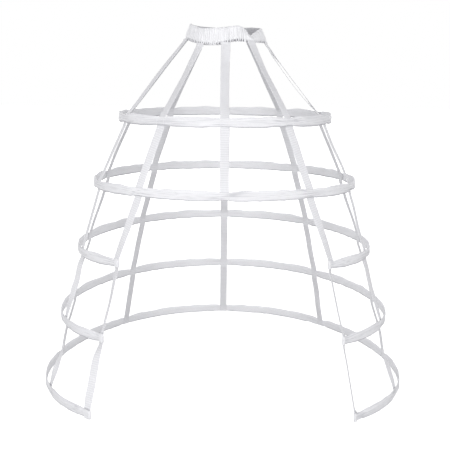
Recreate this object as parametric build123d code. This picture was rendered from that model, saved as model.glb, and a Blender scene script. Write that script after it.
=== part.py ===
from build123d import *
import os
from math import cos, degrees, pi, radians, sin, sqrt

os.makedirs("parts", exist_ok=True)

# Crinoline cage in millimetres: +Z up, hem on z = 0, open front towards -Y, footprint centred on the origin.

# woven tape and elastic
tape_width = 20.0
tape_thickness = 0.8
tape_bend_clearance = 1.0
tape_lap = 10.0
elastic_width = 32.0
elastic_thickness = 1.2

# hoop: a flat coated steel bone, the cloth casing over its outside and room for the thin cloth on its inside
bone_height = 12.0
bone_thickness = 1.0
bone_butt_gap = 1.0
casing_height = 20.0
casing_thickness = 2.4
casing_clearance = 0.3
lining_room = 0.6
flatness = 0.0001
end_overhang = 1.5
end_fold = 5.0

# gathered waistband, a tube that widens downwards
waist_bottom_z = 782.0
waist_height = 40.0
waist_bottom_radius = 90.0
waist_top_radius = 79.5
waist_wall = 0.9
waist_play = 0.3
gather_count = 40
gather_depth = 3.2

# hoops from the top down: height of the middle line, half width, reach to the front and reach to the back
hoop_1_z = 624.0
hoop_1_half_width = 241.0
hoop_1_front = 228.0
hoop_1_back = 275.0
hoop_2_z = 476.0
hoop_2_half_width = 301.0
hoop_2_front = 248.0
hoop_2_back = 322.0
hoop_3_z = 324.0
hoop_3_half_width = 341.0
hoop_3_front = 276.0
hoop_3_back = 408.0
hoop_4_z = 169.0
hoop_4_half_width = 384.0
hoop_4_front = 326.0
hoop_4_back = 452.0
hoop_5_z = 10.0
hoop_5_half_width = 424.0
hoop_5_front = 367.0
hoop_5_back = 501.0

# where the tapes cross the hoops, as the angle each tape faces, turned from the front
front_edge_closed_angle = 32.5
front_edge_3_angle = 37.0
front_edge_4_angle = 38.3
front_edge_5_angle = 38.5
side_front_closed_angle = 66.0
side_front_open_angle = 66.5
side_back_closed_angle = 106.0
side_back_open_angle = 100.0
back_closed_angle = 139.0
back_open_angle = 131.5
waist_step_angle = 36.0

# slack in the tapes: turn about their own length and sag towards the inside, halfway down a span
front_edge_turn = 40.0
front_edge_left_turn = 34.0
side_front_turn = 30.0
side_front_sag = 6.0
slack_shares = (0.25, 0.5, 0.75)

full_turn = 360.0
half_turn = 180.0
quarter_turn = 90.0
arc_turn = 45.0
half_share = 0.5

hoops = {
    1: (hoop_1_z, hoop_1_half_width, hoop_1_front, hoop_1_back),
    2: (hoop_2_z, hoop_2_half_width, hoop_2_front, hoop_2_back),
    3: (hoop_3_z, hoop_3_half_width, hoop_3_front, hoop_3_back),
    4: (hoop_4_z, hoop_4_half_width, hoop_4_front, hoop_4_back),
    5: (hoop_5_z, hoop_5_half_width, hoop_5_front, hoop_5_back),
}
closed_hoops = (1, 2)
open_hoops = (3, 4, 5)
front_edge_angles = {
    1: front_edge_closed_angle,
    2: front_edge_closed_angle,
    3: front_edge_3_angle,
    4: front_edge_4_angle,
    5: front_edge_5_angle,
}
pieces = {}


def oval_radii(half_width, reach):
    # a quarter of an oval as two arcs of 45 degrees that meet without a corner: end radius, side radius
    lean = sin(radians(arc_turn))
    rest = 1 - lean
    spread = lean * lean - rest * rest
    return (lean * half_width - rest * reach) / spread, (lean * reach - rest * half_width) / spread


def hoop_arcs(number):
    # each arc of the hoop's middle line, right round from the front: first angle, last angle, centre, radius
    half_width, front, back = hoops[number][1:]
    front_end, front_side = oval_radii(half_width, front)
    back_end, back_side = oval_radii(half_width, back)
    right_front, right_back = half_width - front_side, half_width - back_side
    return [
        (-arc_turn, arc_turn, (0, front_end - front), front_end),
        (arc_turn, quarter_turn, (right_front, 0), front_side),
        (quarter_turn, half_turn - arc_turn, (right_back, 0), back_side),
        (half_turn - arc_turn, half_turn + arc_turn, (0, back - back_end), back_end),
        (half_turn + arc_turn, half_turn + quarter_turn, (-right_back, 0), back_side),
        (half_turn + quarter_turn, full_turn - arc_turn, (-right_front, 0), front_side),
    ]


def arc_at(number, angle):
    # the arc that a facing angle falls on
    turned = (angle + arc_turn) % full_turn - arc_turn
    return next(arc for arc in hoop_arcs(number) if arc[0] <= turned <= arc[1])


def facing(angle):
    return Vector(sin(radians(angle)), -cos(radians(angle)), 0)


def sideways(angle):
    return Vector(cos(radians(angle)), sin(radians(angle)), 0)


def run_of_arcs(number, first, last, offset):
    # the hoop's middle line moved outwards by the offset, between two facing angles
    laps = [(arc, lap) for lap in (0, full_turn) for arc in hoop_arcs(number)]
    edges = []
    for (start, end, centre, radius), lap in laps:
        begin = max(start + lap, first)
        finish = min(end + lap, last)
        if finish > begin:
            edges.append(CenterArc(centre, radius + offset, begin - quarter_turn, finish - begin))
    return edges


def band(number, first, last, inside, outside, height):
    # an upright strip along a hoop, between two facing angles or right round, at offsets from the middle line
    outer = run_of_arcs(number, first, last, outside)
    inner = run_of_arcs(number, first, last, inside)
    if last - first >= full_turn:
        plan = make_face(outer) - make_face(inner)
    else:
        ends = [Line(outer[0] @ 0, inner[0] @ 0), Line(outer[-1] @ 1, inner[-1] @ 1)]
        plan = make_face(outer + inner + ends)
    return Pos(0, 0, hoops[number][0] - height * half_share) * extrude(plan, height)


def bone(number, first, last):
    return band(number, first, last, -bone_thickness * half_share, bone_thickness * half_share, bone_height)


def casing(number, first, last):
    inside = bone_thickness * half_share + casing_clearance
    return band(number, first, last, inside, inside + casing_thickness, casing_height)


def turn_along(number, angle, length):
    # the angle that a length takes up on the hoop's middle line
    return degrees(length / arc_at(number, angle)[3])


def skin(rings):
    # a closed solid of flat facets through rings of corners, with like diagonals on opposite sides of a ring
    count = len(rings[0])
    sides = [(corner, (corner + 1) % count) for corner in range(count)]
    sides = [side if side[0] < count * half_share else side[::-1] for side in sides]
    faces = [Face(Wire.make_polygon(rings[0])), Face(Wire.make_polygon(rings[-1]))]
    for upper, lower in zip(rings, rings[1:]):
        for first, second in sides:
            quad = [upper[first], upper[second], lower[second], lower[first]]
            normal = (quad[1] - quad[0]).cross(quad[2] - quad[0]).normalized()
            warped = abs(normal.dot(quad[3] - quad[0])) > flatness
            for corners in ([quad[:3], [quad[0], *quad[2:]]] if warped else [quad]):
                faces.append(Face(Wire.make_polygon(corners)))
    return Solid(Shell(faces))


def ribbon(stations):
    # a flat tape through stations of a point and the direction of its width, mitred at each bend
    rings = []
    for place, (point, across) in enumerate(stations):
        before = stations[max(place - 1, 0)][0]
        after = stations[min(place + 1, len(stations) - 1)][0]
        leaving = (after - point if after != point else point - before).normalized()
        arriving = (point - before if before != point else leaving).normalized()
        through = (arriving + leaving).cross(across).normalized()
        mitre = 1 / abs(across.cross(through).dot(leaving))
        aside = across * tape_width * half_share
        outwards = through * tape_thickness * half_share * mitre
        front_edges = [point + aside + outwards, point - aside + outwards]
        rings.append(front_edges + [point - aside - outwards, point + aside - outwards])
    return skin(rings)


def tape_seat(wall_radius):
    # how far the middle of a flat tape stays inside a round wall, so that its edges clear it
    half = tape_width * half_share
    reach = wall_radius - lining_room
    return wall_radius - sqrt(reach * reach - half * half) + tape_thickness * half_share


# bones and casings: the closed hoops meet at the back, the open ones stop at the front-edge tapes
for number in closed_hoops:
    gap = turn_along(number, half_turn, bone_butt_gap * half_share)
    pieces[f"hoop_{number}_bone"] = bone(number, half_turn + gap, full_turn + half_turn - gap)
    pieces[f"hoop_{number}_casing"] = casing(number, -arc_turn, full_turn - arc_turn)

for number in open_hoops:
    tape_angle = front_edge_angles[number]
    edge = tape_angle - turn_along(number, tape_angle, tape_width * half_share + end_overhang)
    fold = edge + turn_along(number, edge, end_fold)
    pieces[f"hoop_{number}_bone"] = bone(number, fold, full_turn - fold)
    pieces[f"hoop_{number}_casing"] = casing(number, edge, full_turn - edge)


def waist_radius(height):
    # the radius of the gathers' valleys at a height above the band's lower edge
    return waist_bottom_radius + (waist_top_radius - waist_bottom_radius) * height / waist_height


def ridge_radius(height):
    # the radius of the gathers' ridges at a height above the band's lower edge
    return waist_radius(height) * (1 + gather_depth / waist_bottom_radius)


def waist_plug(inwards, margin):
    # a tapering plug with one side under each gather, short of the band's edges by a margin
    rings = []
    for height in (margin, waist_height - margin):
        radius = waist_radius(height) - inwards
        corners = [facing(full_turn * place / gather_count) * radius for place in range(gather_count)]
        rings.append([corner + Vector(0, 0, waist_bottom_z + height) for corner in corners])
    return skin(rings)


def waist_gathers():
    # the outside of the waistband, a ring of straight-sided gathers that narrows upwards
    rings = []
    for height in (0, waist_height):
        valley = waist_radius(height)
        ridge = ridge_radius(height)
        corners = []
        for place in range(gather_count):
            corners.append(facing(full_turn * place / gather_count) * ridge)
            corners.append(facing(full_turn * (place + half_share) / gather_count) * valley)
        rings.append([corner + Vector(0, 0, waist_bottom_z + height) for corner in corners])
    return skin(rings)


# gathered waistband around its elastic
elastic_outside = waist_wall + waist_play
elastic_inside = elastic_outside + elastic_thickness
tunnel_inside = elastic_inside + waist_play
waist_lining = tunnel_inside + waist_wall
elastic_margin = (waist_height - elastic_width) * half_share
tunnel_margin = elastic_margin - waist_play
tunnel = waist_plug(waist_wall, tunnel_margin) - waist_plug(tunnel_inside, tunnel_margin)
pieces["waistband_casing"] = waist_gathers() - waist_plug(waist_lining, 0) - tunnel
elastic = waist_plug(elastic_outside, elastic_margin) - waist_plug(elastic_inside, elastic_margin)
pieces["waist_elastic"] = elastic


def waist_station(angle, height):
    # a tape's place against the outside of the waistband's gathers
    reach = ridge_radius(height) + waist_play + tape_thickness * half_share
    return facing(angle) * reach + Vector(0, 0, waist_bottom_z + height), sideways(angle)


def hoop_station(number, angle, height):
    # a tape's place against the inside of a hoop
    centre, radius = arc_at(number, angle)[2:]
    wall = radius - bone_thickness * half_share
    return Vector(*centre, height) + facing(angle) * (wall - tape_seat(wall)), sideways(angle)


def slack_stations(above, below, turn, sag):
    # down a span, a swelling turn about the tape's length and a sag towards the inside
    stations = []
    for share in slack_shares:
        swell = sin(pi * share)
        across = (above[1] * (1 - share) + below[1] * share).normalized()
        inwards = Vector(0, 0, 1).cross(across)
        point = above[0] * (1 - share) + below[0] * share + inwards * sag * swell
        stations.append((point, across.rotate(Axis(point, below[0] - above[0]), turn * swell)))
    return stations


def crossings(closed_angle, open_angle):
    # the angle at which a tape crosses each hoop
    return {number: closed_angle if number in closed_hoops else open_angle for number in hoops}


def tape(side, waist_angle, angles, last_hoop, turns, sags):
    # one tape from its lap on the waistband's lower edge down the inside of the hoops
    stations = [waist_station(waist_angle, tape_lap), waist_station(waist_angle, 0)]
    edge = casing_height * half_share
    for number in range(1, last_hoop + 1):
        angle = angles[number]
        middle = hoops[number][0]
        above = hoop_station(number, angle, middle + edge + tape_bend_clearance)
        tail = edge if number == last_hoop else edge + tape_bend_clearance
        if number in turns:
            stations.extend(slack_stations(stations[-1], above, turns[number], sags.get(number, 0)))
        stations.append(above)
        stations.append(hoop_station(number, angle, middle - tail))
    solid = ribbon(stations)
    return mirror(solid, Plane.YZ) if side == "left" else solid


# tapes, in pairs on the left and right with one at the middle of the front and of the back
last_hoop = max(open_hoops)
pieces["front_centre_tape"] = tape("right", 0, crossings(0, 0), max(closed_hoops), {}, {})
pieces["back_centre_tape"] = tape("right", half_turn, crossings(half_turn, half_turn), last_hoop, {}, {})
left_edge_turns = {4: -front_edge_turn, 5: front_edge_left_turn}
right_edge_turns = {4: -front_edge_turn, 5: -front_edge_turn}
slack_turns = {5: -side_front_turn}
slack_sags = {5: side_front_sag}
side_front_angles = crossings(side_front_closed_angle, side_front_open_angle)
side_back_angles = crossings(side_back_closed_angle, side_back_open_angle)
back_angles = crossings(back_closed_angle, back_open_angle)
sides = {
    "front_edge_left": ("left", 1, front_edge_angles, left_edge_turns, {}),
    "front_edge_right": ("right", 1, front_edge_angles, right_edge_turns, {}),
    "side_front_left": ("left", 2, side_front_angles, slack_turns, slack_sags),
    "side_front_right": ("right", 2, side_front_angles, slack_turns, slack_sags),
    "side_back_left": ("left", 3, side_back_angles, {}, {}),
    "side_back_right": ("right", 3, side_back_angles, {}, {}),
    "back_left": ("left", 4, back_angles, {}, {}),
    "back_right": ("right", 4, back_angles, {}, {}),
}
for name, (side, step, angles, turns, sags) in sides.items():
    pieces[f"{name}_tape"] = tape(side, waist_step_angle * step, angles, last_hoop, turns, sags)

# the footprint's middle goes to the origin
box = Compound(children=[Compound(piece.solids()) for piece in pieces.values()]).bounding_box()
place = Pos(0, -box.center().Y, -box.min.Z)
for name, piece in pieces.items():
    export_step(place * piece, f"parts/{name}.step")
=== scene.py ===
import bpy
import numpy as np
from mathutils import Euler, Matrix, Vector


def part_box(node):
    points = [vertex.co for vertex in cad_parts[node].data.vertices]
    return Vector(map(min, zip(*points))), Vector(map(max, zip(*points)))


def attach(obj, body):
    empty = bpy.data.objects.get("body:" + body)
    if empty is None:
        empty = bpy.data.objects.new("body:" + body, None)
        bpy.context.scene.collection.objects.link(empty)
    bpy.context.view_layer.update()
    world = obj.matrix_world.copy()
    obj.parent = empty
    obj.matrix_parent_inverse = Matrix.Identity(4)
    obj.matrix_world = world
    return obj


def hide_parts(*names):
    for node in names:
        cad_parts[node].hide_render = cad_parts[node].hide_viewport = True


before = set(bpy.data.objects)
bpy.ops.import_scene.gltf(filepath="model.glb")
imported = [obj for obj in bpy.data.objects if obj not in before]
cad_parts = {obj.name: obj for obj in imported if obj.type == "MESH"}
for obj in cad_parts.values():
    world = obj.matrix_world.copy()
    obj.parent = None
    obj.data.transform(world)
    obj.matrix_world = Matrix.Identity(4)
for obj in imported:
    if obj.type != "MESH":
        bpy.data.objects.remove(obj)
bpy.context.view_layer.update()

print("crinoline cage: frame loaded with", len(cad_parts), "nodes")

mm = 0.001
waistLow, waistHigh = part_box("waistband_casing")
waistY = (waistLow[1] + waistHigh[1]) / 2  # the wearer's axis stands in front of the footprint's middle
waistAxis = np.array([0.0, waistY, 0.0])
up = np.array([0.0, 0.0, 1.0])

# Hoops from the top down, in mm: height, half width, reach to the front and to the back of the waist axis.
hoopLines = {
    1: (624, 241, 228, 275),
    2: (476, 301, 248, 322),
    3: (324, 341, 276, 408),
    4: (169, 384, 326, 452),
    5: (10, 424, 367, 501),
}
closedHoops = (1, 2)
openHoops = (3, 4, 5)

# Tapes: side, facing angle at the waist, and facing angle on each hoop that the tape reaches.
tapeRuns = {
    "front_centre": (1, 0, (0, 0)),
    "front_edge_left": (-1, 36, (32.5, 32.5, 37, 38.3, 38.5)),
    "front_edge_right": (1, 36, (32.5, 32.5, 37, 38.3, 38.5)),
    "side_front_left": (-1, 72, (66, 66, 66.5, 66.5, 66.5)),
    "side_front_right": (1, 72, (66, 66, 66.5, 66.5, 66.5)),
    "side_back_left": (-1, 108, (106, 106, 100, 100, 100)),
    "side_back_right": (1, 108, (106, 106, 100, 100, 100)),
    "back_left": (-1, 144, (139, 139, 131.5, 131.5, 131.5)),
    "back_right": (1, 144, (139, 139, 131.5, 131.5, 131.5)),
    "back_centre": (1, 180, (180, 180, 180, 180, 180)),
}


def unit(vectors):
    return vectors / np.linalg.norm(vectors, axis=-1, keepdims=True)


def easeDown(share):  # 1 up to share 0, then half a cosine down to 0 at share 1
    return 0.5 + 0.5 * np.cos(np.pi * np.clip(share, 0, 1))


def facing(angle):  # straight out of the cage at an angle turned from the front
    a = np.radians(angle)
    return np.stack([np.sin(a), -np.cos(a), np.zeros_like(a)], axis=-1)


def lengthAlong(line):  # length run up to each point of a line
    return np.concatenate([[0], np.cumsum(np.linalg.norm(np.diff(line, axis=0), axis=1))])


def lengthAround(ring):  # the same round a closed ring, back to its first point
    return lengthAlong(np.vstack([ring, ring[:1]]))


def hoopPlan(number, angle):
    # the facing angle picks one of four arcs of a half oval, mirrored on the left:
    # point = arc centre + radius x facing; neighbouring arcs meet in line at 45, 90 and 135 degrees
    height, half, front, back = (v * mm for v in hoopLines[number])
    lean = np.sqrt(0.5)
    rest = 1 - lean
    spread = lean ** 2 - rest ** 2
    frontEnd = (lean * half - rest * front) / spread
    frontSide = (lean * front - rest * half) / spread
    backEnd = (lean * half - rest * back) / spread
    backSide = (lean * back - rest * half) / spread
    turned = np.mod(np.asarray(angle, float), 360)
    mirrored = np.where(turned > 180, -1.0, 1.0)
    turned = np.where(turned > 180, 360 - turned, turned)
    arcs = [turned <= 45, turned <= 90, turned <= 135, turned <= 180]
    radius = np.select(arcs, [frontEnd, frontSide, backSide, backEnd])
    centreX = np.select(arcs, [0, half - frontSide, half - backSide, 0])
    centreY = np.select(arcs, [frontEnd - front, 0, 0, back - backEnd])
    out = facing(turned) * np.stack([mirrored, np.ones_like(turned), np.ones_like(turned)], axis=-1)
    centre = np.stack([mirrored * centreX, centreY + waistY, np.full_like(turned, height)], axis=-1)
    return centre + radius[..., None] * out, out, radius


def hoopRun(number, first, last, step):
    # even steps along the hoop: lengths summed over fine angles, then turned back into angles
    fine = np.linspace(first, last, 6000)
    length = lengthAlong(hoopPlan(number, fine)[0])
    along = np.linspace(0, length[-1], int(round(length[-1] / step)) + 1)
    return along, np.interp(along, length, fine), fine, length


def waves(along, across, total, seed, count, lengths, tilts=(0, 1)):
    # sum of seeded sines over the cloth; whole cycles along it keep a closed loop seamless
    rng = np.random.default_rng(seed)
    cycles = np.round(total / rng.uniform(*lengths, count))
    tilt = rng.uniform(*tilts, count) * rng.choice([-1.0, 1.0], count)
    phase = rng.uniform(0, 2 * np.pi, count)
    strength = rng.uniform(0.4, 1.0, count)
    turn = 2 * np.pi * (cycles * along[:, None, None] / total + tilt * across[None, :, None]) + phase
    return (np.sin(turn) * strength).sum(axis=2) / np.sqrt((strength ** 2).sum())


def bellCurve(span, reach):
    bell = np.exp(-0.5 * (np.arange(-span, span + 1) / reach) ** 2)
    return bell / bell.sum()


def smoothed(values, reach):
    # running average under a bell curve that is reach samples wide, ends held
    span = int(4 * reach)
    padded = np.pad(values, ((span, span), (0, 0)), mode="edge")
    bell = bellCurve(span, reach)
    return np.stack([np.convolve(column, bell, mode="valid") for column in padded.T], axis=-1)


def flatSection(half):
    # places across a flat section, from edge to edge on the outside and back on the inside;
    # the second array is 1 on the outside and 0 on the inside
    outside = np.concatenate([np.ones(len(half)), np.zeros(len(half) - 2)])
    return np.concatenate([half, half[-2:0:-1]]), outside


def sineColumns(count):  # columns that crowd towards both edges
    return np.sin(np.pi / 2 * np.linspace(-1, 1, count))


def roundedRim(q, power):  # full thickness that closes in a round at both edges
    return np.sqrt(np.clip(1 - np.abs(q) ** power, 0, 1))


def clothMesh(name, points, along, closed, paintedShade, girthRow=0):
    # quads join each ring of the section to the next ring along the path; an open band gets a face
    # over each end; the girth of one row and the length along the path are the UV map, in metres
    rows, cols = points.shape[:2]
    around = lengthAround(points[girthRow])
    index = np.arange(rows * cols).reshape(rows, cols)
    if closed:
        index = np.vstack([index, index[:1]])
    beside = np.roll(index, -1, axis=1)
    faces = np.stack([index[:-1], beside[:-1], beside[1:], index[1:]], axis=-1).reshape(-1, 4)
    u = np.stack([around[:-1], around[1:], around[1:], around[:-1]], axis=-1)
    v = np.stack([along[:-1], along[:-1], along[1:], along[1:]], axis=-1)
    spread = (len(index) - 1, cols, 4)
    uv = np.stack([np.broadcast_to(u[None], spread), np.broadcast_to(v[:, None], spread)], axis=-1)
    uv = uv.reshape(-1, 2)
    flat = points.reshape(-1, 3)
    a, b, c, d = (flat[faces[:, k]] for k in range(4))
    if (a * (np.cross(b, c) + np.cross(c, d))).sum() < 0:  # the volume's sign says which way the faces look
        faces = faces[:, ::-1]
        uv = uv.reshape(-1, 4, 2)[:, ::-1].reshape(-1, 2)
        caps = [index[0], index[-1][::-1]]
    else:
        caps = [index[0][::-1], index[-1]]
    polygons = faces.tolist()
    if not closed:
        polygons += [cap.tolist() for cap in caps]
        uv = np.vstack([uv] + [np.tile([[around[0], end]], (cols, 1)) for end in (along[0], along[-1])])
    mesh = bpy.data.meshes.new(name)
    mesh.from_pydata(flat, [], polygons)
    mesh.uv_layers.new(name="cloth").data.foreach_set("uv", uv.astype(np.float32).ravel())
    # this point attribute carries the painted shade in creases, folds, slits and grooves
    mesh.attributes.new("paintedShade", "FLOAT", "POINT").data.foreach_set("value", paintedShade.astype(np.float32).ravel())
    mesh.polygons.foreach_set("use_smooth", np.ones(len(polygons), bool))
    mesh.update()
    return mesh


def addPiece(name, mesh, material, slot, *nodes):
    mesh.materials.append(material)
    piece = bpy.data.objects.new(name, mesh)
    bpy.context.scene.collection.objects.link(piece)
    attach(piece, "root")
    if nodes:
        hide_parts(*nodes)
    return piece


stitch = {"length": 3.4, "radius": 0.32, "rings": 5, "sides": 6}  # mm; one stitch of sewing thread


def stitchMesh(name, centre, along, out):
    # each stitch is a bent bead: a radius x a round profile,
    # carried along a low arch whose ends dip into the cloth
    t = np.linspace(-1, 1, stitch["rings"])
    turn = np.linspace(0, 2 * np.pi, stitch["sides"], endpoint=False)[None, None, :, None]
    radius = stitch["radius"] * mm * (0.45 + 0.55 * np.sqrt(1 - 0.9 * t ** 2))
    arch = stitch["radius"] * mm * (0.35 - 1.1 * t ** 4)
    run = t * stitch["length"] * mm / 2
    side = np.cross(out, along)
    path = centre[:, None] + along[:, None] * run[None, :, None] + out[:, None] * arch[None, :, None]
    ring = side[:, None, None] * np.cos(turn) + out[:, None, None] * np.sin(turn)
    points = path[:, :, None] + ring * radius[None, :, None, None]
    count, rings, sides = points.shape[:3]
    index = np.arange(count * rings * sides).reshape(count, rings, sides)
    beside = np.roll(index, -1, axis=2)
    quads = np.stack([index[:, :-1], index[:, 1:], beside[:, 1:], beside[:, :-1]], axis=-1).reshape(-1, 4)
    ends = np.concatenate([index[:, 0], index[:, -1, ::-1]])
    mesh = bpy.data.meshes.new(name)
    mesh.from_pydata(points.reshape(-1, 3), [], quads.tolist() + ends.tolist())
    mesh.polygons.foreach_set("use_smooth", np.ones(len(mesh.polygons), bool))
    mesh.update()
    return mesh


def seatOn(points, rows, cols, upright, out=None):
    # places for stitches on a cloth grid: the point, the thread's direction, and the way out of the cloth,
    # which is worked out from the grid and turned away from the waist axis where none is given
    rows, cols = np.broadcast_arrays(rows, cols)
    count = points.shape[0]
    lengthwise = unit(points[(rows + 1) % count, cols] - points[(rows - 1) % count, cols])
    crosswise = unit(points[rows, cols + 1] - points[rows, cols - 1])
    centre = points[rows, cols]
    if out is None:
        out = unit(np.cross(lengthwise, crosswise))
        out = out * np.sign((out[:, :2] * (centre - waistAxis)[:, :2]).sum(axis=1))[:, None]
    return centre, (crosswise if upright else lengthwise), np.broadcast_to(out, centre.shape)


def sewPiece(name, slot, seams):  # all the stitches of a piece as one mesh
    centre, thread, out = (np.concatenate([seam[k] for seam in seams]) for k in range(3))
    addPiece(name, stitchMesh(name, centre, thread, out), sewingThread, slot)


# Finishes: the groups first, then one material for each cloth.
def newGroup(name, inputs, outputs):
    group = bpy.data.node_groups.new(name, "ShaderNodeTree")
    group.interface.new_socket("Vector", in_out="INPUT", socket_type="NodeSocketVector")
    for label, value in inputs.items():
        socket = group.interface.new_socket(label, in_out="INPUT", socket_type="NodeSocketFloat")
        socket.default_value = value
    for label in outputs:
        group.interface.new_socket(label, in_out="OUTPUT", socket_type="NodeSocketFloat")
    return group, group.nodes.new("NodeGroupInput"), group.nodes.new("NodeGroupOutput")


def mathNode(tree, operation, *values):
    node = tree.nodes.new("ShaderNodeMath")
    node.operation = operation
    for place, value in enumerate(values):
        if isinstance(value, (int, float)):
            node.inputs[place].default_value = value
        else:
            tree.links.new(value, node.inputs[place])
    return node.outputs[0]


def halfSines(tree, value):  # one round ridge for each whole step of the value
    return mathNode(tree, "ABSOLUTE", mathNode(tree, "SINE", mathNode(tree, "MULTIPLY", value, np.pi)))


def mixColours(tree, factor, first, second):
    mix = tree.nodes.new("ShaderNodeMix")
    mix.data_type = "RGBA"
    tree.links.new(factor, mix.inputs[0])
    for socket, value in ((mix.inputs[6], first), (mix.inputs[7], second)):
        if isinstance(value, tuple):
            socket.default_value = (*value, 1.0)
        else:
            tree.links.new(value, socket)
    return mix.outputs[2]


def makeWeave():
    # plain weave: warp and weft are half sines over the thread pitch, and a checker says which lies on top
    group, given, made = newGroup("plainWeave", {"Warp Pitch": 0.0005, "Weft Pitch": 0.0006, "Slub": 0.3},
                                  ("Height", "Gap"))
    split = group.nodes.new("ShaderNodeSeparateXYZ")
    group.links.new(given.outputs["Vector"], split.inputs[0])
    slub = group.nodes.new("ShaderNodeTexNoise")
    slub.inputs["Scale"].default_value = 140.0
    slub.inputs["Detail"].default_value = 2.0
    group.links.new(given.outputs["Vector"], slub.inputs["Vector"])
    u = mathNode(group, "DIVIDE", split.outputs[0], given.outputs["Warp Pitch"])
    v = mathNode(group, "DIVIDE", split.outputs[1], given.outputs["Weft Pitch"])
    u = mathNode(group, "MULTIPLY_ADD", slub.outputs[0], given.outputs["Slub"], u)
    warp, weft = halfSines(group, u), halfSines(group, v)
    cell = mathNode(group, "ADD", mathNode(group, "FLOOR", u), mathNode(group, "FLOOR", v))
    over = mathNode(group, "PINGPONG", cell, 1.0)
    warpTop = mathNode(group, "MULTIPLY", warp, over)
    weftTop = mathNode(group, "MULTIPLY", weft, mathNode(group, "SUBTRACT", 1.0, over))
    group.links.new(mathNode(group, "ADD", warpTop, weftTop), made.inputs["Height"])
    bare = mathNode(group, "SUBTRACT", 1.0, mathNode(group, "MULTIPLY", warp, weft))
    group.links.new(mathNode(group, "POWER", bare, 4.0), made.inputs["Gap"])
    return group


def makeRibs():
    # cross ribs of a woven tape: half sines along its length, dipped where the warp threads cross them
    group, given, made = newGroup("tapeRibs", {"Rib Pitch": 0.00133, "Warp Pitch": 0.0004}, ("Height", "Gap"))
    split = group.nodes.new("ShaderNodeSeparateXYZ")
    group.links.new(given.outputs["Vector"], split.inputs[0])
    rib = halfSines(group, mathNode(group, "DIVIDE", split.outputs[1], given.outputs["Rib Pitch"]))
    warp = halfSines(group, mathNode(group, "DIVIDE", split.outputs[0], given.outputs["Warp Pitch"]))
    height = mathNode(group, "MULTIPLY_ADD", warp, 0.25, mathNode(group, "POWER", rib, 0.7))
    group.links.new(height, made.inputs["Height"])
    group.links.new(mathNode(group, "POWER", mathNode(group, "SUBTRACT", 1.0, rib), 2.0), made.inputs["Gap"])
    return group


def makeMottle():
    # uneven white of washed cloth: a broad cloud and a fine fuzz, each a noise around its middle
    group, given, made = newGroup("washedMottle", {"Cloud Scale": 14.0, "Fuzz Scale": 900.0},
                                  ("Shade", "Fuzz"))
    for label, scale, detail in (("Shade", "Cloud Scale", 4.0), ("Fuzz", "Fuzz Scale", 3.0)):
        noise = group.nodes.new("ShaderNodeTexNoise")
        noise.inputs["Detail"].default_value = detail
        group.links.new(given.outputs["Vector"], noise.inputs["Vector"])
        group.links.new(given.outputs[scale], noise.inputs["Scale"])
        spread = group.nodes.new("ShaderNodeMapRange")
        spread.inputs["From Min"].default_value = 0.3
        spread.inputs["From Max"].default_value = 0.7
        group.links.new(noise.outputs[0], spread.inputs["Value"])
        group.links.new(spread.outputs[0], made.inputs[label])
    return group


weaveGroup, ribGroup, mottleGroup = makeWeave(), makeRibs(), makeMottle()


def placeGroup(tree, group, vector, values):
    node = tree.nodes.new("ShaderNodeGroup")
    node.node_tree = group
    tree.links.new(vector, node.inputs["Vector"])
    for label, value in values.items():
        node.inputs[label].default_value = value
    return node


def placeMottle(tree, place, look):
    scales = {"Cloud Scale": look["cloud"], "Fuzz Scale": look["fuzz"]}
    return placeGroup(tree, mottleGroup, place.outputs["Object"], scales)


def newMaterial(name):
    material = bpy.data.materials.new(name)
    material.use_nodes = True
    return material, material.node_tree, material.node_tree.nodes["Principled BSDF"]


def addBump(tree, shader, height, look):
    bump = tree.nodes.new("ShaderNodeBump")
    bump.inputs["Strength"].default_value = look["bump"]
    bump.inputs["Distance"].default_value = look["depth"]
    tree.links.new(height, bump.inputs["Height"])
    tree.links.new(bump.outputs[0], shader.inputs["Normal"])


clothFinish = {"fuzzRough": 0.12, "sheenRough": 0.45, "specular": 0.25}  # the same for every cloth


def clothMaterial(name, look, group, threads):
    # white cloth: threads give the bump and a painted shade in the gaps between them, the mottle its uneven
    # white, and a point attribute the painted shade in creases, folds, slits and grooves
    material, tree, shader = newMaterial(name)
    place = tree.nodes.new("ShaderNodeTexCoord")
    cloth = placeGroup(tree, group, place.outputs["UV"], threads)
    mottle = placeMottle(tree, place, look)
    paintedShade = tree.nodes.new("ShaderNodeAttribute")
    paintedShade.attribute_name = "paintedShade"
    white = mixColours(tree, mottle.outputs["Shade"], look["light"], look["dull"])
    fold = mathNode(tree, "MULTIPLY", paintedShade.outputs["Fac"], look["paintedShadeDepth"])
    shadedWhite = mixColours(tree, fold, white, look["shade"])
    between = mathNode(tree, "MULTIPLY", cloth.outputs["Gap"], look["paintedGapShade"])
    tree.links.new(mixColours(tree, between, shadedWhite, look["shade"]), shader.inputs["Base Color"])
    fuzz = mottle.outputs["Fuzz"]
    rough = mathNode(tree, "MULTIPLY_ADD", fuzz, clothFinish["fuzzRough"], look["rough"])
    tree.links.new(rough, shader.inputs["Roughness"])
    relief = mathNode(tree, "MULTIPLY_ADD", fuzz, look["fuzzHeight"], cloth.outputs["Height"])
    addBump(tree, shader, relief, look)
    shader.inputs["Sheen Weight"].default_value = look["sheen"]
    shader.inputs["Sheen Roughness"].default_value = clothFinish["sheenRough"]
    shader.inputs["Specular IOR Level"].default_value = clothFinish["specular"]
    return material


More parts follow.
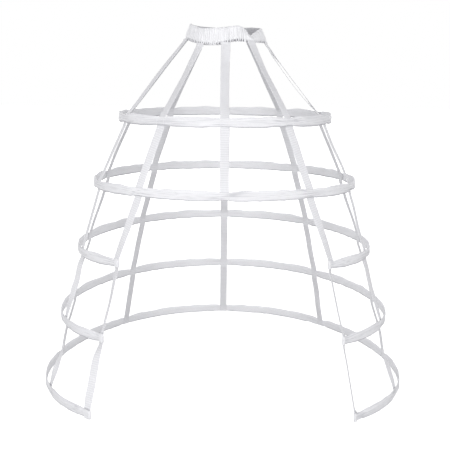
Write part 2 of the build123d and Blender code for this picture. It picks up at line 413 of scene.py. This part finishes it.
casingLook = {"light": (0.92, 0.92, 0.948), "dull": (0.89, 0.89, 0.918), "shade": (0.46, 0.46, 0.495),
              "cloud": 22.0, "fuzz": 1100.0, "paintedShadeDepth": 0.75, "paintedGapShade": 0.25, "rough": 0.74,
              "fuzzHeight": 0.35, "bump": 0.5, "depth": 0.00012, "sheen": 0.12}
tapeLook = {"light": (0.89, 0.89, 0.918), "dull": (0.86, 0.86, 0.888), "shade": (0.55, 0.55, 0.585),
            "cloud": 30.0, "fuzz": 1400.0, "paintedShadeDepth": 0.5, "paintedGapShade": 0.3, "rough": 0.62,
            "fuzzHeight": 0.15, "bump": 0.6, "depth": 0.0002, "sheen": 0.16}
waistLook = {"light": (0.96, 0.96, 0.985), "dull": (0.93, 0.93, 0.955), "shade": (0.26, 0.26, 0.29),
             "cloud": 40.0, "fuzz": 1100.0, "paintedShadeDepth": 0.88, "paintedGapShade": 0.2, "rough": 0.75,
             "fuzzHeight": 0.35, "bump": 0.45, "depth": 0.00012, "sheen": 0.12}
cottonThreads = {"Warp Pitch": 0.00042, "Weft Pitch": 0.0005, "Slub": 0.3}
ribbedThreads = {"Rib Pitch": 0.00133, "Warp Pitch": 0.0004}

casingCotton = clothMaterial("casingCotton", casingLook, weaveGroup, cottonThreads)
ribbedTape = clothMaterial("ribbedTape", tapeLook, ribGroup, ribbedThreads)
waistCotton = clothMaterial("waistCotton", waistLook, weaveGroup, cottonThreads)

threadLook = {"hollowShade": (0.80, 0.81, 0.825), "ply": (0.90, 0.905, 0.91), "plies": 900.0, "rough": 0.5,
              "bump": 0.5, "depth": 0.0001, "sheen": 0.1}
boneLook = {"coat": (0.82, 0.825, 0.83), "steel": (0.42, 0.43, 0.44), "cloud": 60.0, "fuzz": 600.0,
            "scuff": 6.0, "rough": 0.28, "peelRough": 0.15, "bump": 0.3, "depth": 0.0001, "gloss": 0.2}


def threadMaterial():
    # twisted sewing thread: a fine band wave over the stitch makes the plies, with a painted shade in the
    # hollows between them
    material, tree, shader = newMaterial("sewingThread")
    place = tree.nodes.new("ShaderNodeTexCoord")
    plies = tree.nodes.new("ShaderNodeTexWave")
    plies.bands_direction = "DIAGONAL"
    plies.inputs["Scale"].default_value = threadLook["plies"]
    tree.links.new(place.outputs["Object"], plies.inputs["Vector"])
    colour = mixColours(tree, plies.outputs["Fac"], threadLook["hollowShade"], threadLook["ply"])
    tree.links.new(colour, shader.inputs["Base Color"])
    addBump(tree, shader, plies.outputs["Fac"], threadLook)
    shader.inputs["Roughness"].default_value = threadLook["rough"]
    shader.inputs["Sheen Weight"].default_value = threadLook["sheen"]
    return material


def boneMaterial():
    # white coated spring steel: the coat's orange peel,
    # and the steel grey showing through where the cloud is high
    material, tree, shader = newMaterial("coatedSteel")
    place = tree.nodes.new("ShaderNodeTexCoord")
    mottle = placeMottle(tree, place, boneLook)
    scuff = mathNode(tree, "POWER", mottle.outputs["Shade"], boneLook["scuff"])
    tree.links.new(mixColours(tree, scuff, boneLook["coat"], boneLook["steel"]), shader.inputs["Base Color"])
    rough = mathNode(tree, "MULTIPLY_ADD", mottle.outputs["Fuzz"], boneLook["peelRough"], boneLook["rough"])
    tree.links.new(rough, shader.inputs["Roughness"])
    addBump(tree, shader, mottle.outputs["Fuzz"], boneLook)
    shader.inputs["Coat Weight"].default_value = boneLook["gloss"]
    return material


sewingThread, coatedSteel = threadMaterial(), boneMaterial()
for number in hoopLines:
    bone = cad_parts[f"hoop_{number}_bone"]
    bone.data.materials.clear()
    bone.data.materials.append(coatedSteel)
print("finishes made:", len(bpy.data.materials))

# Hoop casings: flat cloth tubes sewn round the bones.
casing = {  # mm, but shares of the half height where the name ends in From or Over
    "above": 11.6, "below": 11.2,  # the cloth's edges over and under the bone's middle line
    "outer": 2.95, "inner": 0.95,  # its faces outside and inside of that line
    "seam": 1.0, "middle": 0.9,  # thickness of the sewn top edge, and where it stands
    "least": -1.3, "most": 3.4,  # how far the faces may come in and stand out
    "foldFrom": 0.7, "foldOver": 0.3, "rimFrom": 0.88, "rimOver": 0.12,
    "swellFrom": 0.3, "swellOver": 0.45, "greyFrom": 0.68, "greyOver": 0.14,
    "folds": 0.75, "creases": 0.1, "edgeWave": 0.85,
    "streakCrease": 0.22, "crossCrease": 0.2,  # breadth of a crease, as a share of its wave's height
    "pinchTop": 3.4, "pinchLow": 2.4, "pinchReach": 15.0, "pinchWide": 39.0, "drawnReach": 42.0,
    "boneCover": 6.4, "boneRoom": 0.7, "leastEdge": 7.6, "seamPull": 1.25,
    "floorGap": 0.2, "endReach": 11.5,
    "step": 3.0, "columns": 25,
    "seamColumn": 20, "stitchEvery": 2, "sewnBeside": 3, "sewnColumns": (6, 9, 12, 15, 18),
}
# Waves of the cloth: their number, lengths in m and tilt over the height. Their order sets the seeds.
casingWaves = {
    "streaks": (16, (0.16, 0.7), (0.6, 1.5)),
    "broad": (14, (0.04, 0.11), (0.0, 0.3)),
    "topEdge": (14, (0.035, 0.15)),
    "lowEdge": (14, (0.035, 0.15)),
    "small": (22, (0.014, 0.04), (0.1, 0.9)),
    "cross": (18, (0.1, 0.45), (0.7, 1.7)),
    "swing": (10, (0.06, 0.25)),
}


def crossings(number):
    # facing angles where tapes cross a hoop, all the way round
    angles = []
    for side, _, run in tapeRuns.values():
        if number <= len(run):
            angles.append(run[number - 1] if side > 0 else 360 - run[number - 1])
    return np.array(angles, float)


def hoopEnd(number):
    # the angle where an open hoop's casing stops, just past the front-edge tape
    edge = tapeRuns["front_edge_right"][2][number - 1]
    return edge - np.degrees(casing["endReach"] * mm / hoopPlan(number, np.array([edge]))[2][0])


def casingGrid(number):
    # section: a cloth strip folded round the bone, round fold below and thin sewn seam on top;
    # point = hoop line + facing x (section + folds) + up x height, both drawn in at the tapes
    closed = number in closedHoops
    first, last = (180.0, 540.0) if closed else (hoopEnd(number), 360 - hoopEnd(number))
    along, angle, fine, length = hoopRun(number, first, last, casing["step"] * mm)
    total = along[-1]
    rows = along[:-1] if closed else along
    line, out, _ = hoopPlan(number, angle[:len(rows)])
    q, outside = flatSection(sineColumns(casing["columns"]))
    level = np.zeros(1)
    wave = {}
    for step, (label, layer) in enumerate(casingWaves.items()):
        wave[label] = waves(rows, q if len(layer) > 2 else level, total, 10 * number + step, *layer)

    # how near each row is to a tape: near draws the edges in, drawn deepens the folds further out
    angles = crossings(number)
    sewn = np.interp(np.where(angles < first, angles + 360, angles), fine, length)
    away = np.abs(rows[:, None] - sewn[None, :])
    away = np.minimum(away, total - away) if closed else away
    close = np.exp(-(away / (casing["pinchReach"] * mm)) ** 2)
    wide = np.exp(-(away / (casing["pinchWide"] * mm)) ** 2)
    near = (0.7 * close + 0.3 * wide).max(axis=1)[:, None]
    drawn = np.exp(-(away / (casing["drawnReach"] * mm)) ** 2).max(axis=1)[:, None]

    # creases run where a wave crosses zero, along the streaks in some stretches and across them in others
    swing = np.clip(0.5 + 0.7 * wave["swing"], 0, 1)
    crease = np.exp(-(wave["streaks"] / casing["streakCrease"]) ** 2) * swing
    crease = crease + np.exp(-(wave["cross"] / casing["crossCrease"]) ** 2) * (1 - swing)
    folds = 0.5 * wave["streaks"] * (0.5 + drawn) - crease * (0.5 + 0.8 * drawn) + 0.15 * wave["broad"]

    # heights: the lowest hoop stands on the floor, and no edge is drawn in past the bone
    below = min(casing["below"], hoopLines[number][0] - casing["floorGap"])
    above = casing["above"] + casing["below"] - below
    top = above + casing["edgeWave"] * wave["topEdge"] - casing["pinchTop"] * near
    low = below - casing["edgeWave"] * np.abs(wave["lowEdge"]) - casing["pinchLow"] * near
    top, low = np.maximum(top, casing["leastEdge"]), np.maximum(low, casing["leastEdge"])
    height = np.where(q > 0, top, low) * q

    # offsets: the outside swells below the seam, the inside wraps the whole bone
    fold = np.sqrt(1 - np.clip((-q - casing["foldFrom"]) / casing["foldOver"], 0, 1) ** 2)
    rim = np.sqrt(1 - np.clip((q - casing["rimFrom"]) / casing["rimOver"], 0, 1) ** 2)
    swell = easeDown((q - casing["swellFrom"]) / casing["swellOver"])
    wrap = easeDown((height - casing["boneCover"]) / (0.92 * top - casing["boneCover"]))
    halfSeam = casing["seam"] / 2
    over = (casing["outer"] - casing["middle"] - halfSeam) * swell + halfSeam * rim
    under = (casing["middle"] + casing["inner"] - halfSeam) * wrap + halfSeam * rim
    offset = casing["middle"] + np.where(outside > 0, over, -under) * fold
    relief = casing["folds"] * folds + casing["creases"] * wave["small"]
    relief = relief * (0.25 + 0.75 * swell) * fold * rim
    offset = np.where(outside > 0, offset * (1 - 0.3 * near) + relief, offset + 0.3 * relief * (1 - drawn))
    offset = np.clip(offset, casing["least"] + 0.3 * drawn, casing["most"])
    onBone = (outside < 1) & (np.abs(height) < casing["boneCover"])
    offset = np.where(onBone, np.minimum(offset, -casing["boneRoom"]), offset)
    offset = offset - casing["seamPull"] * near * (1 - wrap)
    points = line[:, None] + out[:, None] * (offset * mm)[..., None] + up * (height * mm)[..., None]

    # painted shade in the creases and fold hollows, and a painted shadow under the lower edge, strongest at
    # the cage's sides
    paintedShade = crease * (0.25 + 0.5 * drawn) * rim * (0.3 + 0.7 * outside) + 0.1 * np.clip(-folds, 0, 1)
    shadow = np.clip((-q - casing["greyFrom"]) / casing["greyOver"], 0, 1)
    paintedShade = paintedShade + shadow * (0.4 + 0.9 * np.abs(out[:, :1]))
    return points, along, closed, np.clip(paintedShade, 0, 1), sewn


for number in hoopLines:
    points, along, closed, paintedShade, sewn = casingGrid(number)
    name = f"hoop_{number}_cloth"
    mesh = clothMesh(name, points, along, closed, paintedShade)
    addPiece(name, mesh, casingCotton, "hoop_casing", f"hoop_{number}_casing")
    rows = np.arange(2, len(points) - 2, casing["stitchEvery"])
    seams = [seatOn(points, rows, casing["seamColumn"], False)]
    beside = casing["sewnBeside"]
    sewnRows = np.round(sewn / (casing["step"] * mm)).astype(int)
    sewnRows = np.clip(sewnRows, beside + 1, len(points) - beside - 2)
    sewnRows = np.concatenate([sewnRows - beside, sewnRows + beside])
    seams += [seatOn(points, sewnRows, column, True) for column in casing["sewnColumns"]]
    sewPiece(f"hoop_{number}_stitches", "hoop_casing", seams)
print("hoop casings made:", len(hoopLines))

# Waistband: a cloth tube drawn up on its elastic, slumped a little as it stands empty.
waist = {  # mm, angles in degrees from the front
    "bottom": 782.0, "height": 40.0, "bottomRadius": 90.0, "topRadius": 79.5, "inside": 3.6,
    "clothLength": 720.0,  # of the cloth before it was gathered
    "gathers": 118, "depth": 1.9, "ripple": 0.4, "ruffle": 1.5, "tooth": 4.2, "bulge": 9.0,
    "lean": 0.6, "sharp": 0.8, "toothSharp": 1.5, "insideShare": 0.4,
    "looseFrom": 0.62, "looseOver": 0.38, "topFrom": 0.8, "topOver": 0.2,  # shares of the half height
    "slitFrom": 0.6, "slitOver": 0.16, "rimPower": 14,
    "perGather": 9, "columns": 24, "seed": 42, "stitchColumns": (7, 19), "stitchFrom": 5,
    "liftAngles": (-180, -130, -90, -60, -44, -30, -8, 8, 17, 27, 34, 40, 48, 59, 76, 90, 130, 180),
    "topLift": (5, 6.5, 9.5, 3, -3, -4, -2.5, 0, 2.5, 0, -8, -20, -14, -7, -1, 0, 5, 5),
    "bottomLift": (16, 17, 15.5, 9, 3, -1, -1, 6, 7.5, 7.5, 7.5, 7, 6.5, 6.5, 7, 7.5, 15, 16),
    "liftSpan": 12, "liftReach": 2.5,
}


def waistLift(angle, edge):
    # how far the band's edge stands above or below its level line, a smooth run through the listed heights
    span = waist["liftSpan"]
    fine = np.arange(-180.0, 180.0, 1.0)
    heights = np.interp(fine, waist["liftAngles"], waist[edge])
    heights = np.concatenate([heights[-span:], heights, heights[:span]])
    heights = np.convolve(heights, bellCurve(span, waist["liftReach"]), mode="valid")
    turned = np.mod(np.asarray(angle, float) + 180, 360) - 180
    return np.interp(turned, np.append(fine, 180.0), np.append(heights, heights[0]))


def waistWall(share, standing):
    # radius = taper from bottom to top + a half wave where the band is pressed down to less than its height
    taper = waist["bottomRadius"] + (waist["topRadius"] - waist["bottomRadius"]) * share
    pressed = np.clip(1 - standing / waist["height"], 0, 1)
    return taper + waist["bulge"] * pressed * np.sin(np.pi * np.clip(share * 1.15, 0, 1))


def waistGrid():
    # radius = wall + gathers, each a rounded ridge between sharp valleys;
    # height = lower edge + share x standing height, with teeth along the loose lower edge
    count = waist["gathers"] * waist["perGather"]
    turn = np.arange(count) / count
    angle = 360 * turn - 180
    drift = waves(turn, np.zeros(1), 1.0, waist["seed"], 10, (0.03, 0.2))
    phase = np.pi * (waist["gathers"] * turn[:, None] + 0.5 * drift)
    q, outside = flatSection(sineColumns(waist["columns"]))
    share = 0.5 + 0.5 * q
    rim = roundedRim(q, waist["rimPower"])
    lean = waist["lean"] * np.sin(np.pi * share * 1.5 + 6 * drift)
    ridge = np.abs(np.cos(phase + lean)) ** waist["sharp"]
    ripple = np.abs(np.cos(2 * phase - 1.5 * lean + 2 * drift))
    uneven = 0.8 + 0.3 * waves(turn, share, 1.0, waist["seed"] + 1, 14, (0.015, 0.07), (0.1, 0.6))
    loose = np.clip((-q - waist["looseFrom"]) / waist["looseOver"], 0, 1)
    top = np.clip((q - waist["topFrom"]) / waist["topOver"], 0, 1)
    gather = ridge * uneven * waist["depth"] + waist["ripple"] * ripple * (1 - loose)
    gather = gather + waist["ruffle"] * (loose * (2 * ridge - 1) + 0.5 * top * (2 * ripple - 1))
    low, high = waistLift(angle, "bottomLift")[:, None], waistLift(angle, "topLift")[:, None]
    standing = waist["height"] + high - low
    inset = np.where(outside > 0, 0.0, waist["inside"]) * rim + 0.5 * waist["inside"] * (1 - rim)
    radius = waistWall(share, standing) - inset + gather * np.where(outside > 0, 1.0, waist["insideShare"])
    tooth = waist["tooth"] * (1 - ridge) ** waist["toothSharp"] * loose * uneven + 0.5 * top * (ripple - 0.5)
    height = waist["bottom"] + low + share * standing + tooth
    points = facing(angle)[:, None] * (radius * mm)[..., None] + up * (height * mm)[..., None] + waistAxis

    # painted shade: in the valleys, in the slits between the teeth, and on the inside of the band
    swing = np.clip(0.7 + 0.6 * drift, 0.3, 1)
    slit = np.clip((-q - waist["slitFrom"]) / waist["slitOver"], 0, 1) * (1 - ridge ** 2) * swing
    paintedShade = np.clip(0.4 - 0.75 * ridge, 0, 1) * swing + 0.2 * np.clip(0.5 - ripple, 0, 1) * swing + 1.5 * slit
    along = np.append(turn, 1.0) * waist["clothLength"] * mm
    return points, along, np.clip(paintedShade + 0.5 * (1 - outside), 0, 1)


points, along, paintedShade = waistGrid()
waistband = addPiece("waistband_cloth", clothMesh("waistband_cloth", points, along, True, paintedShade), waistCotton,
                     "waistband", "waistband_casing", "waist_elastic")
rows = np.arange(waist["stitchFrom"], len(points), waist["perGather"])
sewPiece("waistband_stitches", "waistband", [seatOn(points, rows, c, False) for c in waist["stitchColumns"]])
print("waistband made")

# Tapes: ribbed woven tape from its lap on the waistband down the inside of the hoops.
tape = {  # mm
    "width": 20.0, "thickness": 1.0, "cup": 0.25, "sway": 0.9,
    "ridgePitch": 4.8, "groove": 0.3, "grooveSharp": 6, "rimPower": 20,
    "calmUpper": 0.2,  # share of the ridges left in the taut upper run
    "flatAtHoop": 0.12, "freeOver": 0.25,  # in hoops: where the sway starts, and the way to its full size
    "lap": 5.0, "under": 0.5, "sewn": 2.4, "proud": 4.3,  # on the waistband
    "boneHalf": 0.5, "lining": 0.6, "bendAbove": 4.0, "bendBelow": 12.0, "tail": 9.3,  # at each hoop
    "soft": 4.0, "step": 0.8, "seed": 70, "girthRow": 40,
    "columns": (-1, -0.965, -0.86, -0.43, 0, 0.43, 0.86, 0.965, 1),
    "lapColumns": (2, 3, 4, 5, 6), "hoopColumns": (10, 14), "hoopStitches": (-6.5, -2.2, 2.2, 6.5),
}
tapeTurns = {  # place down the tape in hoops, and the turn in degrees that swings the rear edge inwards
    "front_centre": ((0.14, 0), (0.3, 26), (0.75, 28), (0.95, 4), (1.15, 4), (1.4, 20), (1.8, 18), (1.95, 0)),
    "front_edge_left": ((0.12, 0), (0.4, 20), (0.8, 16), (1, 0), (2.2, 0), (2.9, 14), (3.1, 26), (3.5, 33),
                        (3.88, 33), (4, 10), (4.12, 26), (4.3, -10), (4.7, -14), (4.87, 0)),
    "front_edge_right": ((0.12, 0), (0.4, 18), (0.8, 14), (1, 0), (2.2, 0), (2.9, 16), (3, 14), (3.14, 38),
                         (3.86, 38.5), (4, 14), (4.14, 38.5), (4.88, 38.5), (5, 8)),
    "side_front_left": ((0.12, -6), (0.5, -8), (0.9, 0), (3.1, 0), (3.2, -18), (3.5, -28), (3.8, -8),
                        (3.88, 0), (4.1, 12), (4.3, 16), (4.5, 0), (4.68, -26), (4.87, 0)),
    "side_front_right": ((0.12, 0), (0.4, 18), (0.8, 18), (0.95, 2), (3.1, 0), (3.2, -6), (3.5, -8),
                         (3.8, -2), (3.88, 0), (4.1, 12), (4.35, 18), (4.6, -14), (4.8, -8), (4.87, 0)),
    "side_back_right": ((0.12, -4), (0.35, -20), (0.7, -20), (0.95, 0)),
}
tapeSags = {  # place down the tape in hoops, and the sag towards the inside
    "front_edge_right": ((3.9, 0), (3.95, 0.5), (4.2, 0.5), (4.3, 0), (4.88, 0), (4.93, 0.5)),
    "side_front_left": ((0.1, 0), (0.5, 2), (0.8, 4.5), (0.95, 1), (3.1, 0), (3.4, 5), (3.9, 1), (4.1, 0),
                        (4.3, 4.5), (4.5, 6), (4.7, 4.5), (4.9, 0)),
    "side_front_right": ((0.1, 0), (0.25, 7), (0.5, 11), (0.8, 9), (0.95, 2), (3.1, 0), (3.5, 5), (3.9, 0),
                         (4.1, 0), (4.3, 4.5), (4.5, 6), (4.7, 4.5), (4.9, 0)),
    "side_back_left": ((3.1, 0), (3.5, -4), (3.9, 0), (4.1, 0), (4.5, -4), (4.9, 0)),
    "side_back_right": ((0.1, 0), (0.25, 4), (0.5, 6.5), (0.8, 7), (0.95, 2), (3.1, 0), (3.5, -4), (3.9, 0),
                        (4.1, 0), (4.5, -4), (4.9, 0)),
}


def tapeSeat(radius):
    # how far a flat tape's middle stays inside a round wall, so that its edges clear it
    half = tape["width"] * mm / 2
    return radius - np.sqrt((radius - tape["lining"] * mm) ** 2 - half ** 2) + tape["thickness"] * mm / 2


def tapeStations(name):
    # stations from the waistband down: the point, the direction of the width and the place counted in hoops
    side, waistAngle, run = tapeRuns[name]
    mirrored = np.array([side, 1, 1])
    lift = float(waistLift(side * waistAngle, "bottomLift"))
    standing = waist["height"] + float(waistLift(side * waistAngle, "topLift")) - lift
    stations = []
    for height, place in ((tape["lap"], 0.0), (-tape["under"], 0.1)):
        reach = waistWall(max(height / standing, 0), standing) + tape["proud"]
        point = facing(np.array(float(waistAngle))) * reach + up * (waist["bottom"] + lift + height)
        stations.append((point * mm + waistAxis, waistAngle, place))
    for number, angle in enumerate(run, 1):
        line, out, radius = hoopPlan(number, np.array([float(angle)]))
        half = tape["boneHalf"] * mm
        inner = line[0] - out[0] * (half + tapeSeat(radius[0] - half))
        tail = tape["tail"] if number == len(run) else tape["bendBelow"]
        stations.append((inner + up * tape["bendAbove"] * mm, angle, number - 0.1))
        stations.append((inner - up * tail * mm, angle, number + 0.1))
    points = np.array([station[0] for station in stations]) * mirrored
    across = np.array([facing(np.array(station[1] + 90.0)) for station in stations]) * mirrored
    return points, across, np.array([station[2] for station in stations])


def handSet(table, name, where):  # values listed down a tape, and 0 for a tape that has none
    setting = np.array(table.get(name, ((0, 0),)), float)
    return np.interp(where, setting[:, 0], setting[:, 1])[:, None]


def tapeGrid(name):
    # a flat section with rounded selvedges carried down a rounded path; ridges cross it every few ribs
    points, across, place = tapeStations(name)
    steps = lengthAlong(points)
    along = np.linspace(0, steps[-1], int(steps[-1] / (tape["step"] * mm)) + 1)
    path = np.stack([np.interp(along, steps, points[:, k]) for k in range(3)], axis=-1)
    wide = unit(np.stack([np.interp(along, steps, across[:, k]) for k in range(3)], axis=-1))
    where = np.interp(along, steps, place)
    side = tapeRuns[name][0]
    inward = np.cross(up, wide) * side
    turn = np.radians(handSet(tapeTurns, name, where))
    sway = waves(where, np.zeros(1), 5.0, tape["seed"] + sorted(tapeRuns).index(name), 8, (0.5, 2.0))
    fromHoop = np.abs(np.mod(where + 0.5, 1) - 0.5) - tape["flatAtHoop"]
    free = np.clip(fromHoop, 0, tape["freeOver"])[:, None] / tape["freeOver"]
    turned = wide * np.cos(turn) + inward * np.sin(turn)
    path = path + (turned - wide) * tape["width"] * mm / 2  # the front edge stays where it is
    path = path + inward * (handSet(tapeSags, name, where) + tape["sway"] * sway * free) * mm
    reach = tape["soft"] / tape["step"]
    path, turned = smoothed(path, reach), smoothed(turned, 1.5 * reach)
    down = unit(np.gradient(path, axis=0))
    out = unit(np.cross(down, turned)) * -side
    turned = unit(np.cross(out, down)) * -side
    q, outside = flatSection(np.array(tape["columns"], float))
    rim = roundedRim(q, tape["rimPower"])
    calm = np.interp(where, (0, 0.75, 1.0), (tape["calmUpper"], tape["calmUpper"], 1.0))[:, None]
    groove = np.cos(np.pi * along / (tape["ridgePitch"] * mm))[:, None] ** tape["grooveSharp"] * calm
    thick = (2 * outside - 1) * rim * (tape["thickness"] / 2 - tape["groove"] * groove * rim)
    offset = thick + tape["cup"] * (1 - q ** 2) * sway
    width = tape["width"] / 2 * (1 - 0.008 * groove)
    grid = path[:, None] + turned[:, None] * (q * width * mm)[..., None]
    grid = grid + out[:, None] * (offset * mm)[..., None]
    # painted shade in the grooves between the ridges, and a painted greyer shade on the taut upper run
    paintedShade = (0.6 * groove + 0.33 * (1 - calm)) * np.ones_like(q)
    return grid, along, paintedShade, out


for name in tapeRuns:
    grid, along, paintedShade, out = tapeGrid(name)
    mesh = clothMesh(f"{name}_ribbon", grid, along, False, paintedShade, tape["girthRow"])
    addPiece(f"{name}_ribbon", mesh, ribbedTape, "tape", f"{name}_tape")
    top = round(tape["sewn"] / tape["step"])
    seams = [seatOn(grid, top, np.array(tape["lapColumns"]), True, out[top])]
    heights = grid[:, len(tape["columns"]) // 2, 2]
    for number in range(1, len(tapeRuns[name][2]) + 1):
        level = (hoopLines[number][0] + np.array(tape["hoopStitches"])) * mm
        rows = np.clip(np.abs(heights[:, None] - level).argmin(axis=0), 2, len(grid) - 3)
        seams += [seatOn(grid, rows, column, False, -out[rows]) for column in tape["hoopColumns"]]
    sewPiece(f"{name}_stitches", "tape", seams)
print("tapes made:", len(tapeRuns))

# End tabs: tape folded over the ends of the open hoops and sewn down.
endTab = {  # mm
    "height": 19.0, "lift": 0.4, "thickness": 0.7, "ridge": 0.1, "ridgePitch": 2.6,
    "leftLegs": {3: 8.5, 4: 9.0, 5: 14.0}, "rightLeg": 3.0, "innerLeg": 1.2,
    "outerOffset": 3.7, "innerOffset": -1.6, "proud": 1.0, "drawnIn": 0.75,
    "closeFrom": 0.35, "closeOver": 0.6,  # shares of the half height, where the top edge is drawn in
    "step": 0.7, "bendRows": 14, "soft": 1.2,
    "edgeRows": (2, 10), "edgeColumns": (2, 4, 6), "sideRows": (4, 6, 8), "sideColumns": (2, 6),
}


def tabGrid(number, side):
    # path: along the outside of the casing to its end, round the end in a half ellipse,
    # and a short way back inside; the tape's flat section is carried along it
    edge = hoopEnd(number)
    radius = hoopPlan(number, np.array([edge]))[2][0]
    outerLeg = endTab["leftLegs"][number] if side < 0 else endTab["rightLeg"]
    leg = np.arange(0, outerLeg, endTab["step"])
    bend = np.radians(np.linspace(0, 180, endTab["bendRows"]))
    tuck = np.arange(endTab["step"], endTab["innerLeg"] + 0.01, endTab["step"])
    halfGap = (endTab["outerOffset"] - endTab["innerOffset"]) / 2
    middle = (endTab["outerOffset"] + endTab["innerOffset"]) / 2
    away = np.concatenate([leg - outerLeg, np.sin(bend) * (halfGap * 0.6 + endTab["proud"]), -tuck])
    offset = np.concatenate([np.full(len(leg), endTab["outerOffset"]), middle + halfGap * np.cos(bend),
                             np.full(len(tuck), endTab["innerOffset"])])
    line, out, _ = hoopPlan(number, edge - np.degrees(away * mm / radius))
    path = smoothed(line + out * (offset * mm)[:, None], endTab["soft"])
    outward = unit(np.cross(unit(np.gradient(path, axis=0)), up))
    outward = outward * np.sign((outward[0] * out[0]).sum())
    q, outside = flatSection(np.array(tape["columns"], float))
    rim = roundedRim(q, tape["rimPower"])
    along = lengthAlong(path)
    ridges = np.cos(np.pi * along / (endTab["ridgePitch"] * mm))[:, None] ** 4
    thick = (2 * outside - 1) * rim * (endTab["thickness"] / 2 + endTab["ridge"] * (ridges - 0.4) * rim)
    height = q * endTab["height"] / 2 + endTab["lift"]
    seam = casing["middle"] - 0.7 * casing["seamPull"]  # the top edge is sewn down on the casing's seam
    closing = 1 - easeDown((q - endTab["closeFrom"]) / endTab["closeOver"])
    drawnIn = endTab["drawnIn"] * np.maximum(offset - seam, 0)[:, None] * closing
    grid = path[:, None] + up * (height * mm)[:, None] + outward[:, None] * (thick * mm)[..., None]
    grid = grid - out[:, None] * (drawnIn * mm)[..., None]
    mirrored = np.array([side, 1, 1])
    # painted shade in the grooves between the ridges
    paintedShade = np.clip(0.5 - ridges, 0, 1) * 0.5 * np.ones_like(q)
    return grid * mirrored, along, paintedShade, outward * mirrored


for number in openHoops:
    for side, label in ((-1, "left"), (1, "right")):
        grid, along, paintedShade, out = tabGrid(number, side)
        name = f"hoop_{number}_{label}_end_tab"
        addPiece(name, clothMesh(name, grid, along, False, paintedShade), ribbedTape, "tape")
        edgeColumns, sideRows = np.array(endTab["edgeColumns"]), np.array(endTab["sideRows"])
        seams = [seatOn(grid, row, edgeColumns, True, out[row]) for row in endTab["edgeRows"]]
        seams += [seatOn(grid, sideRows, column, False, out[sideRows]) for column in endTab["sideColumns"]]
        sewPiece(f"{name}_stitches", "tape", seams)
print("end tabs made:", 2 * len(openHoops))

# Floor, light and camera.
studio = {"floor": 30.0, "paper": 0.45, "paperRough": 0.9, "ambient": 0.525}
lamps = {  # facing angle, distance, height, size, tilt and power of each softbox
    "softboxLeft": (-40, 5.0, 1.0, 2.0, 84, 95),
    "softboxRight": (40, 5.0, 1.0, 2.0, 84, 81),
    "softboxFront": (0, 5.0, 1.2, 2.0, 82, 20),
    "softboxBackLeft": (-155, 5.0, 1.0, 2.0, 84, 60),
    "softboxBackRight": (155, 5.0, 1.0, 2.0, 84, 60),
}


def makeFloor():
    # pale paper that the camera sees as plain white
    half = studio["floor"] / 2
    mesh = bpy.data.meshes.new("studioFloor")
    corners = [(-half, -half, 0), (half, -half, 0), (half, half, 0), (-half, half, 0)]
    mesh.from_pydata(corners, [], [(0, 1, 2, 3)])
    material, tree, shader = newMaterial("studioPaper")
    shader.inputs["Base Color"].default_value = (studio["paper"], studio["paper"], studio["paper"], 1)
    shader.inputs["Roughness"].default_value = studio["paperRough"]
    shader.inputs["Emission Color"].default_value = (1, 1, 1, 1)
    path = tree.nodes.new("ShaderNodeLightPath")
    tree.links.new(path.outputs["Is Camera Ray"], shader.inputs["Emission Strength"])
    mesh.materials.append(material)
    floor = bpy.data.objects.new("studioFloor", mesh)
    bpy.context.scene.collection.objects.link(floor)


def makeSky():
    # the camera sees plain white, the cage gets a weaker even light
    world = bpy.data.worlds.new("studioWhite")
    world.use_nodes = True
    tree = world.node_tree
    sky = tree.nodes["Background"]
    sky.inputs["Color"].default_value = (1, 1, 1, 1)
    seen = tree.nodes.new("ShaderNodeLightPath").outputs["Is Camera Ray"]
    strength = mathNode(tree, "MULTIPLY_ADD", seen, 1.0 - studio["ambient"], studio["ambient"])
    tree.links.new(strength, sky.inputs["Strength"])
    bpy.context.scene.world = world


def addLamp(name, angle, away, height, size, tilt, power):
    data = bpy.data.lights.new(name, "AREA")
    data.shape = "DISK"
    data.size = size
    data.energy = power
    lamp = bpy.data.objects.new(name, data)
    lamp.location = facing(np.array(float(angle))) * away + up * height + waistAxis
    lamp.rotation_euler = Euler((np.radians(tilt), 0, np.radians(angle)))
    bpy.context.scene.collection.objects.link(lamp)


makeFloor()
makeSky()
for name, setting in lamps.items():
    addLamp(name, *setting)

view = {"away": 1.8155, "height": 0.721, "lens": 62.4, "sensor": 36.0,  # m, and mm for the lens and sensor
        "pitch": 10.97, "roll": 0.55, "aside": 0.07}  # degrees
cameraData = bpy.data.cameras.new("photoCamera")
cameraData.lens = view["lens"]
cameraData.sensor_width = view["sensor"]
camera = bpy.data.objects.new("photoCamera", cameraData)
aim = Euler((np.radians(90 - view["pitch"]), 0, np.radians(-view["aside"]))).to_matrix()
camera.rotation_euler = (aim @ Matrix.Rotation(np.radians(view["roll"]), 3, "Z")).to_euler()
camera.location = (0, waistY - view["away"], view["height"])
bpy.context.scene.collection.objects.link(camera)
bpy.context.scene.camera = camera
bpy.context.scene.view_settings.view_transform = "Standard"
print("studio and camera set")

bpy.context.view_layer.update()
